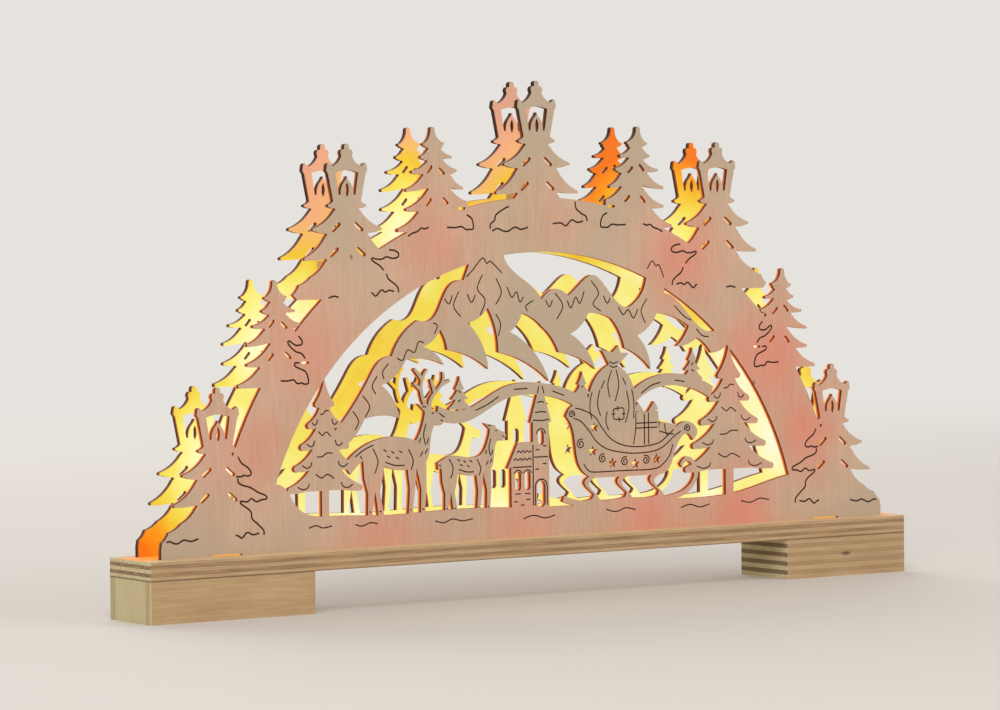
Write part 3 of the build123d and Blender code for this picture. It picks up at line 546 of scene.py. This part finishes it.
def cellMaterial(name, given, node, nubSide):
    material, tree, shader, place, facing = startMaterial(name)
    low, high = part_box(node)
    along = apart(tree, parts(tree, place)["X"], high.x if nubSide > 0 else low.x)
    cap = fade(tree, along, (given["cap"] + given["soft"]) * mm, given["cap"] * mm)
    cap = calc(tree, "MAXIMUM", sideMask(tree, facing, "X"), cap)
    off = apart(tree, along, given["ringPlace"] * mm)
    ring = fade(tree, off, (given["ringHalf"] + given["soft"]) * mm, given["ringHalf"] * mm)
    film = noise(tree, place, 3, 2)
    wrap = blend(tree, ring, given["wrapper"], given["ring"])
    wrap = blend(tree, times(tree, film, 0.3), wrap, given["shadow"])
    color = blend(tree, cap, wrap, given["metal"])
    tree.links.new(cap, shader.inputs["Metallic"])
    finishMaterial(tree, shader, color, calc(tree, "ADD", 0.25, times(tree, film, 0.15)))
    return material


socketNames = [name for name in nodes if name.startswith("lamp_socket")]
dress(spacerMaterial(baseWood), "spacer_top", "spacer_left", "spacer_right")
dress(plasticMaterial("socketPlastic", smallLook["socket"], 0.4, 0.5), *socketNames)
dress(lensMaterial(lensLook), *lampNames)
dress(plasticMaterial("wirePlastic", smallLook["wire"], 0.35, 0.4), "lamp_wire")
dress(plasticMaterial("casePlastic", smallLook["case"], 0.42, 0.35), "battery_case", "battery_lid",
      "switch_body")
dress(plasticMaterial("sliderPlastic", smallLook["slider"], 0.38, 0.3), "switch_slider")
dress(cellMaterial("firstCell", cellLook, "cell_1", -1), "cell_1")
dress(cellMaterial("secondCell", cellLook, "cell_2", 1), "cell_2")
dress(metalMaterial("contactNickel", smallLook["nickel"], (1, 1, 0.1)), "contact_positive",
      "contact_negative", "contact_bridge")
dress(metalMaterial("screwZinc", smallLook["zinc"], (1, 1, 0.3)), "foot_screws")
print("small parts dressed")

# Lines burnt into the front face, in mm across and up

lineLook = dict(archWidth=0.95, pictureWidth=0.72, proud=0.05, step=0.5, color=(40, 23, 15))
# A deer's foot and size, and a fir's tip, height, half width and number of tiers
deerPlaces = dict(stag=(-83, 43.5, 1.0), doe=(-42, 43.5, 0.8))
firShapes = dict(left=(-124.5, 114, 66, 21, 5), right=(117, 122.5, 76, 28, 5))


def placeLines(lines, across, ground, size):  # lines drawn about a figure's own foot
    return [[(across + size * x, ground + size * z) for x, z in line] for line in lines]


def arcLine(across, up, radius, start, end, steps=6):  # in degrees, from the right over the top
    turns = [radians(start + (end - start) * step / steps) for step in range(steps + 1)]
    return [(across + radius * cos(turn), up + radius * sin(turn)) for turn in turns]


def scrollLine(across, up, radius, start, hand, steps=13):  # a spiral that closes in on its centre
    reaches = [radius * (1 - 0.8 * step / steps) for step in range(steps + 1)]
    turns = [radians(start + hand * 45 * step) for step in range(steps + 1)]
    return [(across + reach * cos(turn), up + reach * sin(turn)) for reach, turn in zip(reaches, turns)]


def waveLine(left, right, up, pitch, swing):
    steps = round(2 * (right - left) / pitch)
    places = [left + (right - left) * step / steps for step in range(steps + 1)]
    return [(place, up + (swing if step % 2 else -swing)) for step, place in enumerate(places)]


mirroredLines = [
    # foot of the end lantern tree
    [(172.8, 76.4), (171, 73.4), (168, 71.4), (166, 69.4), (165.9, 67.6), (167.6, 67), (169.6, 67.5),
     (171, 66.9), (174, 67)],
    [(173, 66.2), (172.6, 64), (170, 62.6), (166, 61.4), (162, 59), (158, 57.4), (157.2, 55.8), (160, 55.4),
     (163, 54.6), (165.6, 56.2), (168, 54.8), (171.6, 55.2), (171.2, 53.8), (167.6, 51.4), (165.8, 49.4),
     (165.4, 46.6), (162.2, 43.8), (159.2, 40.8), (159, 38.6)],
    [(161.6, 39.6), (165, 39), (168.2, 40.2), (171, 37.8), (173, 38.8), (174.6, 39.2)],
    [(194.8, 38.6), (199, 37.6), (202.6, 38.4), (206.6, 36.8), (210.4, 38), (212.2, 37.7)],
    # outer fir
    [(138.6, 132.6), (136.8, 130.6), (136.8, 128.8), (139, 128.2), (141, 128.6), (143.6, 130.4),
     (144.6, 129.8), (143, 127.4), (140, 125.2), (137, 124.2), (135, 121.8)],
    [(138.2, 119.9), (139.4, 119.8), (140.6, 120), (140.8, 118.4), (138.4, 117.2), (135, 115.6),
     (133.6, 112.8), (133.4, 110), (135.6, 109.6), (137.2, 110.2), (139.6, 110), (141.6, 111.8),
     (145, 111.4), (148.8, 111.6)],
    # upper lantern tree
    [(87, 173), (84, 172.6), (81.6, 171.2), (82, 169.4), (85, 168.8), (88.4, 169.6), (91, 168.6),
     (94, 168.6), (96.8, 169.2), (96.4, 167.8), (92.4, 165.4), (90.2, 163.2)],
    [(88.6, 161.4), (87.6, 159), (84, 156.4), (82.2, 154.6), (81.8, 152.4)],
    [(84.4, 152.8), (87, 153.4), (89.4, 152.6), (91.6, 153.6), (94.8, 150.8), (96.4, 152), (97.4, 152.4)],
    [(115.8, 150.6), (118.4, 151.2), (121.6, 150.4)],
    # inner fir
    [(42, 189.4), (39, 187.4), (38, 182.8), (40.4, 182.2), (42.4, 182.2), (45, 183.6), (48.6, 183.2),
     (53.4, 183.4)],
    [(64, 183.6), (66.4, 182.8), (68.4, 183.2), (70.6, 181.6), (73.4, 180.8), (76, 179.4)],
]
topLines = [
    [(-17, 193.2), (-20, 192), (-24.6, 189.2), (-25.6, 186.4), (-28, 184.6), (-28, 182.4)],
    [(-27, 181.2), (-24, 182.4), (-20.6, 181.2), (-17.6, 181), (-13.6, 182.9), (-10, 181.8), (-5.8, 182.8)],
    [(22.6, 195.2), (23.2, 191.8), (26, 189.4), (29.2, 187.6), (29.8, 185.4)],
    [(27.4, 185.4), (24, 184.8), (20.4, 186), (17, 183.2), (14, 184.6), (9, 184.4)],
]
# mountains: peaks that run up on the arch, and the folds of their flanks
mountainLines = [
    [(-42.4, 159), (-38.4, 162.6), (-33, 168), (-30.4, 165.4), (-28, 166.2), (-21.6, 160.6)],
    [(66.4, 161), (69.4, 164.8), (71.8, 162.2), (73.6, 162.8), (76.6, 156.4)],
    [(-33, 160), (-36, 153), (-31.6, 147.4), (-34.6, 140)], [(-25, 158), (-22, 151), (-25.4, 145)],
    [(-62, 137), (-59.6, 135.6), (-61.4, 131.6)], [(-47, 152), (-50, 145), (-46, 139.6)],
    [(10, 150), (14.6, 143.6), (11, 137)], [(32, 155.6), (36.4, 149.4), (33, 144), (37.6, 140.4)],
    [(66, 146), (62.4, 140), (65, 133.6)], [(83, 142), (89, 136.6), (93.6, 134.4)],
    [(-88, 118), (-91.4, 114), (-90.6, 110.6)], [(-103, 103), (-99, 97.6), (-101.6, 92.6)],
    [(-3, 146.6), (-7.4, 144), (-6.6, 141.4)],
    # snow under the crests
    [(-83, 120.4), (-79.8, 119.4), (-77, 124.2), (-73, 123), (-70.6, 128), (-67.6, 127.4)],
    [(-55.4, 148.6), (-52.6, 146), (-50.8, 150.2)], [(-42, 150.6), (-39.6, 146.4), (-37.4, 150)],
    [(-18.6, 153.6), (-15.8, 148.4), (-13, 151), (-11, 146), (-8.8, 148.6)],
    [(4.4, 146.6), (6.6, 143.2), (8.4, 146.4)],
    [(17.4, 146), (19.6, 142.4), (22.4, 147.6), (25, 144.4), (27.6, 150.4)],
    [(39.4, 148), (41.4, 144.2), (43.4, 146.6)],
    [(48.4, 142), (51.4, 138.2), (54.4, 140.6), (57.6, 136.4), (60.4, 141)],
    [(-94.6, 112), (-97.4, 107.4), (-95.4, 103.4)], [(-108.6, 95.6), (-105.4, 90.8), (-107.4, 86.4)],
    [(-25.4, 140.4), (-22.6, 135.4), (-24, 129.6)], [(96.6, 130), (100.4, 126.4), (104.4, 125.8)],
]
# a deer about its own foot, then chapel and sleigh with its sack and parcels
deerLines = [
    [(6, 32.5), (8.6, 27), (7.4, 22.4)], [(-14.4, 33.5), (-11.6, 27.5), (-13.4, 21.5)],
    [(16.2, 44.5), (14.8, 39.1), (16, 34.1)], [(19.6, 49.4), (20.9, 49.6)], [(14.1, 52.9), (16.4, 52.7)],
    [(24.7, 46.1), (25.9, 45.6)], [(17.6, 37.6), (16.8, 34.8)], [(17, 32.4), (15.6, 29.8)],
    [(13.2, 37.8), (12.2, 35.4)], [(14.2, 31.2), (12.8, 28.6)], [(-7.4, 26.8), (-2, 25), (3.6, 24.8)],
    [(-21.6, 30.4), (-20.6, 28.8)], [(-8.4, 33), (-6.6, 31.8)], [(-4, 32), (-2.2, 30.8)],
    [(0.6, 32), (2.4, 30.8)], [(-6.4, 29.8), (-4.6, 28.8)], [(-1.4, 29), (0.4, 28)],
    [(-16.7, 3), (-15.7, 3)], [(-11, 3), (-9.8, 3)], [(6.6, 3), (7.3, 3)], [(13.6, 3), (14.6, 3)],
]
chapelLines = [
    [(-4, 45), (-4, 60), (-4, 75.2)], [(-16.2, 64.4), (-11, 64.4), (-4.8, 64.4)],
    waveLine(-15.6, -5, 68.2, 2.6, 0.5), waveLine(-13.6, -5, 72, 2.6, 0.5),
    [(-4, 87.4), (0.8, 87), (5.6, 87.4)], [(-3.4, 69), (1, 69), (4.9, 69)],
    [(-1.2, 96), (0.8, 96.4), (2.8, 96)], [(-2.6, 91), (0.8, 91.4), (4.2, 91)],
    arcLine(-13, 60.4, 2.5, 20, 160), arcLine(-7.4, 60.4, 2.5, 20, 160), arcLine(0.8, 80.4, 2.6, 0, 180),
    [(-2.7, 45), (-2.7, 49)] + arcLine(0.8, 54.4, 3.5, 180, 0) + [(4.3, 49), (4.3, 45)],
    [(-14.8, 51.2), (-11.4, 51.2)], [(-9, 51.2), (-5.8, 51.2)], [(-15.4, 47.4), (-13.2, 47.4)],
    [(-11.4, 45.6), (-9.4, 45.6)], [(-8.2, 48.2), (-6, 48.2)], [(-2.6, 63), (-0.4, 63)],
    [(1.8, 65.6), (4, 65.6)], [(-2.4, 72.6), (-0.2, 72.6)], [(2, 74.4), (4.2, 74.4)],
]
sleighLines = [
    [(21.6, 92.4), (27, 91), (33.4, 87.6), (37.8, 82), (43, 76.4), (50, 73), (58, 71.7), (66, 71.9),
     (73, 73.2), (78, 76.4), (82, 79.4)],
    [(20.4, 87.4), (25, 85.6), (30, 80.6), (34.6, 75), (41, 71.2), (50, 69.2), (58, 68.4), (68, 68.8),
     (75, 70.8), (82, 75.8), (86.4, 78.4)],
    [(26.4, 64.4), (29, 61.2), (33, 60), (50, 60), (69, 60), (75.6, 62.6), (79.6, 67), (81.4, 72)],
    [(42.9, 113), (45, 112), (47.5, 112.6)], [(42.4, 115), (45.2, 114), (47.8, 114.8)],
    [(44, 110.6), (41.6, 104), (42.6, 97)], [(46.8, 110.6), (48.2, 103), (46, 95)],
    [(36.6, 101), (35.2, 94), (37, 88)], [(53, 100), (54.4, 92), (52.2, 84)],
    [(58.6, 81), (65, 81), (71.9, 81)], [(58.6, 83.4), (65, 83.4), (71.9, 83.4)],
    [(63.8, 88), (63.8, 80), (63.8, 72.6)], [(66.4, 88.6), (66.4, 80), (66.4, 72.8)],
    [(58.6, 88.4), (58.4, 80), (57, 73)], [(76.2, 82.6), (77.4, 77.4), (78.2, 77)],
    [(72.9, 79), (77.4, 77.8), (82.2, 77)],
    # scrolls, a patch on the sack and its stitches
    scrollLine(90.6, 79.7, 2.0, 210, -1), scrollLine(19.4, 89.4, 2.0, 330, 1),
    scrollLine(24.8, 74.4, 2.6, 60, 1), scrollLine(51.6, 64.6, 2.4, 60, 1),
    scrollLine(64.6, 64.8, 2.4, 120, -1), scrollLine(38, 66.6, 2.4, 60, 1),
    [(45, 91), (48, 91.4), (51, 91.2), (51.2, 88.4), (51, 86), (48, 85.8), (45.2, 86.2), (44.8, 88.6),
     (45, 91)],
    [(47.4, 92.6), (47.6, 90.2)], [(52.2, 88.6), (50, 88.4)], [(48.4, 84.6), (48.2, 87)],
    [(43.8, 88.4), (46, 88.8)], [(39.6, 105.6), (37.4, 101.4)], [(50.6, 106.8), (52.6, 103)],
    [(41, 90), (40.2, 85), (41.8, 80.6)],
]
snowLines = [
    [(-134, 40.4), (-130, 41.5), (-126, 40.2), (-121, 41)],
    [(-108, 41), (-104, 40), (-99, 41.4), (-95, 40.6)],
    [(-62, 40.4), (-57, 39.2), (-52, 40.8), (-46, 39.6), (-40, 40.4)],
    [(-10, 38.8), (-4, 40.2), (3, 38.6), (9, 39.8)], [(40, 41), (46, 39.6), (52, 41.2), (58, 40)],
    [(86, 39.6), (92, 41), (98, 39.4), (104, 40.6)], [(124, 41.4), (130, 40.2), (136, 42), (142, 41)],
    # hills
    [(-38, 93.4), (-31, 96), (-24, 99.8)], [(-15, 103), (-7, 103.2)], [(8, 101.4), (15, 99)],
    [(62, 98.4), (68, 102), (74, 103.6)], [(83, 104.4), (89, 103.4)], [(-47.8, 103.4), (-46.4, 102.4)],
    [(-46.4, 99), (-48, 98)], [(26.6, 103.4), (25.4, 102.4)], [(94.6, 112.8), (93.2, 111.8)],
    [(93.4, 109.4), (95, 108.4)],
]
# outlines where one shape stands before another
contourLines = [
    [(-59.2, 93), (-57.4, 91.7), (-55.9, 90.8)],
    [(-97, 78.8), (-101, 77.4), (-104.4, 75.6), (-107.6, 73.4)],
    [(32, 100), (30.8, 96), (30.6, 91), (31.6, 86.6)], [(56.2, 100.6), (57.2, 96), (57.5, 91), (57.2, 86)],
    [(-1.2, 100.4), (-0.2, 104)], [(2.8, 100.4), (1.8, 104)],
]


def firLines(tipX, tipZ, height, halfWidth, tiers):  # a hook at the root of each bough, a snow line between
    lines = []
    for tier in range(2, tiers + 1):
        share = tier / tiers
        reach = halfWidth * share ** 0.85
        low = tipZ - 0.86 * height * (0.1 + 0.9 * share)
        for side in (-reach, reach):
            lines.append([(tipX + 0.74 * side, low + 3.2), (tipX + 0.6 * side, low + 1.8),
                          (tipX + 0.47 * side, low + 2.6), (tipX + 0.43 * side, low + 4.6)])
        swing = 1 if tier % 2 else -1
        lines.append([(tipX - 0.26 * reach, low + 8 + swing), (tipX - 0.1 * reach, low + 7),
                      (tipX + 0.06 * reach, low + 8.6), (tipX + 0.24 * reach, low + 7.4 - swing)])
    return lines


def makeLineTree(look):  # a chain of edges becomes a thin flat stroke on the face
    tree = bpy.data.node_groups.new("burntStroke", "GeometryNodeTree")
    for label, kind in (("Geometry", "Geometry"), ("Stroke Width", "Float"), ("Flatness", "Float"),
                        ("Face", "Float"), ("Material", "Material")):
        tree.interface.new_socket(label, in_out="INPUT", socket_type="NodeSocket" + kind)
    tree.interface.new_socket("Geometry", in_out="OUTPUT", socket_type="NodeSocketGeometry")
    given = tree.nodes.new("NodeGroupInput").outputs
    result = tree.nodes.new("NodeGroupOutput").inputs
    path = addNode(tree, "GeometryNodeMeshToCurve", {"Mesh": given["Geometry"]}).outputs[0]
    path = addNode(tree, "GeometryNodeCurveSplineType", {"Curve": path}, spline_type="CATMULL_ROM").outputs[0]
    path = addNode(tree, "GeometryNodeResampleCurve", {"Curve": path, "Length": look["step"] * mm},
                   mode="LENGTH").outputs[0]
    half = times(tree, given["Stroke Width"], 0.5)
    ring = addNode(tree, "GeometryNodeCurvePrimitiveCircle", {"Resolution": 6, "Radius": half}).outputs[0]
    stroke = addNode(tree, "GeometryNodeCurveToMesh", {"Curve": path, "Profile Curve": ring,
                                                       "Fill Caps": True}).outputs[0]
    x, y, z = parts(tree, addNode(tree, "GeometryNodeInputPosition").outputs[0])
    depth = calc(tree, "SUBTRACT", y, given["Face"])
    depth = calc(tree, "MULTIPLY_ADD", depth, given["Flatness"], given["Face"])
    flat = addNode(tree, "ShaderNodeCombineXYZ", {0: x, 1: depth, 2: z}).outputs[0]
    stroke = addNode(tree, "GeometryNodeSetPosition", {"Geometry": stroke, "Position": flat}).outputs[0]
    stroke = addNode(tree, "GeometryNodeRealizeInstances", {0: stroke}).outputs[0]
    stroke = addNode(tree, "GeometryNodeSetMaterial", {"Geometry": stroke,
                                                       "Material": given["Material"]}).outputs[0]
    tree.links.new(stroke, result["Geometry"])
    return tree


def burntLineMaterial(look):
    material, tree, shader, place, facing = startMaterial("burntLine", Specular_IOR_Level=0.2)
    soot = noise(tree, place, 0.9, 3)
    color = blend(tree, fade(tree, soot, 0.35, 0.7), tone(*look["color"]), shaded(look["color"], 1.7))
    finishMaterial(tree, shader, color, calc(tree, "ADD", 0.7, times(tree, soot, 0.25)), soot, 0.02)
    return material


def drawLines(name, lines, tree, material, width, proud):
    points, edges = [], []
    for line in lines:
        edges += [(len(points) + step, len(points) + step + 1) for step in range(len(line) - 1)]
        points += [(x * mm, panelLow.y, z * mm) for x, z in line]
    sketch = bpy.data.meshes.new(name + "Path")
    sketch.from_pydata(points, edges, [])
    carrier = bpy.data.objects.new(name + "Path", sketch)
    bpy.context.scene.collection.objects.link(carrier)
    modifier = carrier.modifiers.new("strokes", "NODES")
    modifier.node_group = tree
    values = {"Stroke Width": width * mm, "Flatness": 2 * proud / width, "Face": panelLow.y,
              "Material": material}
    for socket in tree.interface.items_tree:
        if socket.in_out == "INPUT" and socket.name in values:
            modifier[socket.identifier] = values[socket.name]
    ready = carrier.evaluated_get(bpy.context.evaluated_depsgraph_get())
    mesh = bpy.data.meshes.new_from_object(ready)
    mesh.name = name
    bpy.data.objects.remove(carrier)
    piece = bpy.data.objects.new(name, mesh)
    bpy.context.scene.collection.objects.link(piece)
    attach(piece, "base")


lineTree = makeLineTree(lineLook)
burntLine = burntLineMaterial(lineLook)
archLines = mirroredLines + [[(-x, z) for x, z in line] for line in mirroredLines] + topLines
pictureLines = mountainLines + chapelLines + sleighLines + snowLines + contourLines
for place in deerPlaces.values():
    pictureLines += placeLines(deerLines, *place)
for shape in firShapes.values():
    pictureLines += firLines(*shape)
drawLines("arch_lines", archLines, lineTree, burntLine, lineLook["archWidth"], lineLook["proud"])
drawLines("picture_lines", pictureLines, lineTree, burntLine, lineLook["pictureWidth"], lineLook["proud"])
print("burnt lines drawn:", len(archLines) + len(pictureLines))

# Floor, light and background

stageSet = dict(floor=tone(212, 206, 198), floorCloud=tone(204, 198, 190), floorReach=9.0,
                sky=tone(230, 227, 222), skyLight=0.52, near=0.7, far=2.0)
lampSet = dict(aim=Vector((0, 0, 0.1)), size=1.8, lamps=(
    dict(name="keyLight", place=(-1.5, -1.7, 1.7), power=38),
    dict(name="fillLight", place=(1.7, -1.6, 1.1), power=17),
    dict(name="backLight", place=(0.3, 1.9, 1.6), power=26)))


def directRays(tree):  # 1 for what the camera sees itself or in a mirror or glass
    ray = addNode(tree, "ShaderNodeLightPath").outputs
    mirrored = calc(tree, "MAXIMUM", ray["Is Glossy Ray"], ray["Is Transmission Ray"])
    return calc(tree, "MAXIMUM", ray["Is Camera Ray"], mirrored)


def makeFloor(given):
    reach = given["floorReach"]
    corners = [(-reach, -reach, 0), (reach, -reach, 0), (reach, reach, 0), (-reach, reach, 0)]
    mesh = bpy.data.meshes.new("floor")
    mesh.from_pydata(corners, [], [(0, 1, 2, 3)])
    floor = bpy.data.objects.new("floor", mesh)
    bpy.context.scene.collection.objects.link(floor)
    material, tree, shader, place, facing = startMaterial("floorCoat", Specular_IOR_Level=0.1, Roughness=0.8)
    cloud = times(tree, noise(tree, place, 300, 2), 0.2)
    finishMaterial(tree, shader, blend(tree, cloud, given["floor"], given["floorCloud"]))
    # Far from the object the floor goes over into the background
    away = distance(tree, place, (0, 0, 0))
    share = times(tree, fade(tree, away, given["near"], given["far"]), directRays(tree))
    sky = addNode(tree, "ShaderNodeEmission", {0: given["sky"]}).outputs[0]
    both = addNode(tree, "ShaderNodeMixShader", {0: share, 1: shader.outputs[0], 2: sky}).outputs[0]
    tree.links.new(both, tree.nodes["Material Output"].inputs["Surface"])
    mesh.materials.append(material)


def makeWorld(given):
    world = bpy.data.worlds.new("studio")
    bpy.context.scene.world = world
    world.use_nodes = True
    tree = world.node_tree
    light = tree.nodes["Background"]
    light.inputs[0].default_value = (1, 1, 1, 1)
    light.inputs[1].default_value = given["skyLight"]
    seen = addNode(tree, "ShaderNodeBackground", {0: given["sky"], 1: 1.0}).outputs[0]
    inputs = {0: directRays(tree), 1: light.outputs[0], 2: seen}
    both = addNode(tree, "ShaderNodeMixShader", inputs).outputs[0]
    tree.links.new(both, tree.nodes["World Output"].inputs[0])


def makeLamp(given, size, aim):
    light = bpy.data.lights.new(given["name"], "AREA")
    light.size = size
    light.energy = given["power"]
    lamp = bpy.data.objects.new(given["name"], light)
    lamp.location = given["place"]
    lamp.rotation_euler = (aim - lamp.location).to_track_quat("-Z", "Y").to_euler()
    bpy.context.scene.collection.objects.link(lamp)


makeFloor(stageSet)
makeWorld(stageSet)
for one in lampSet["lamps"]:
    makeLamp(one, lampSet["size"], lampSet["aim"])
print("studio set")
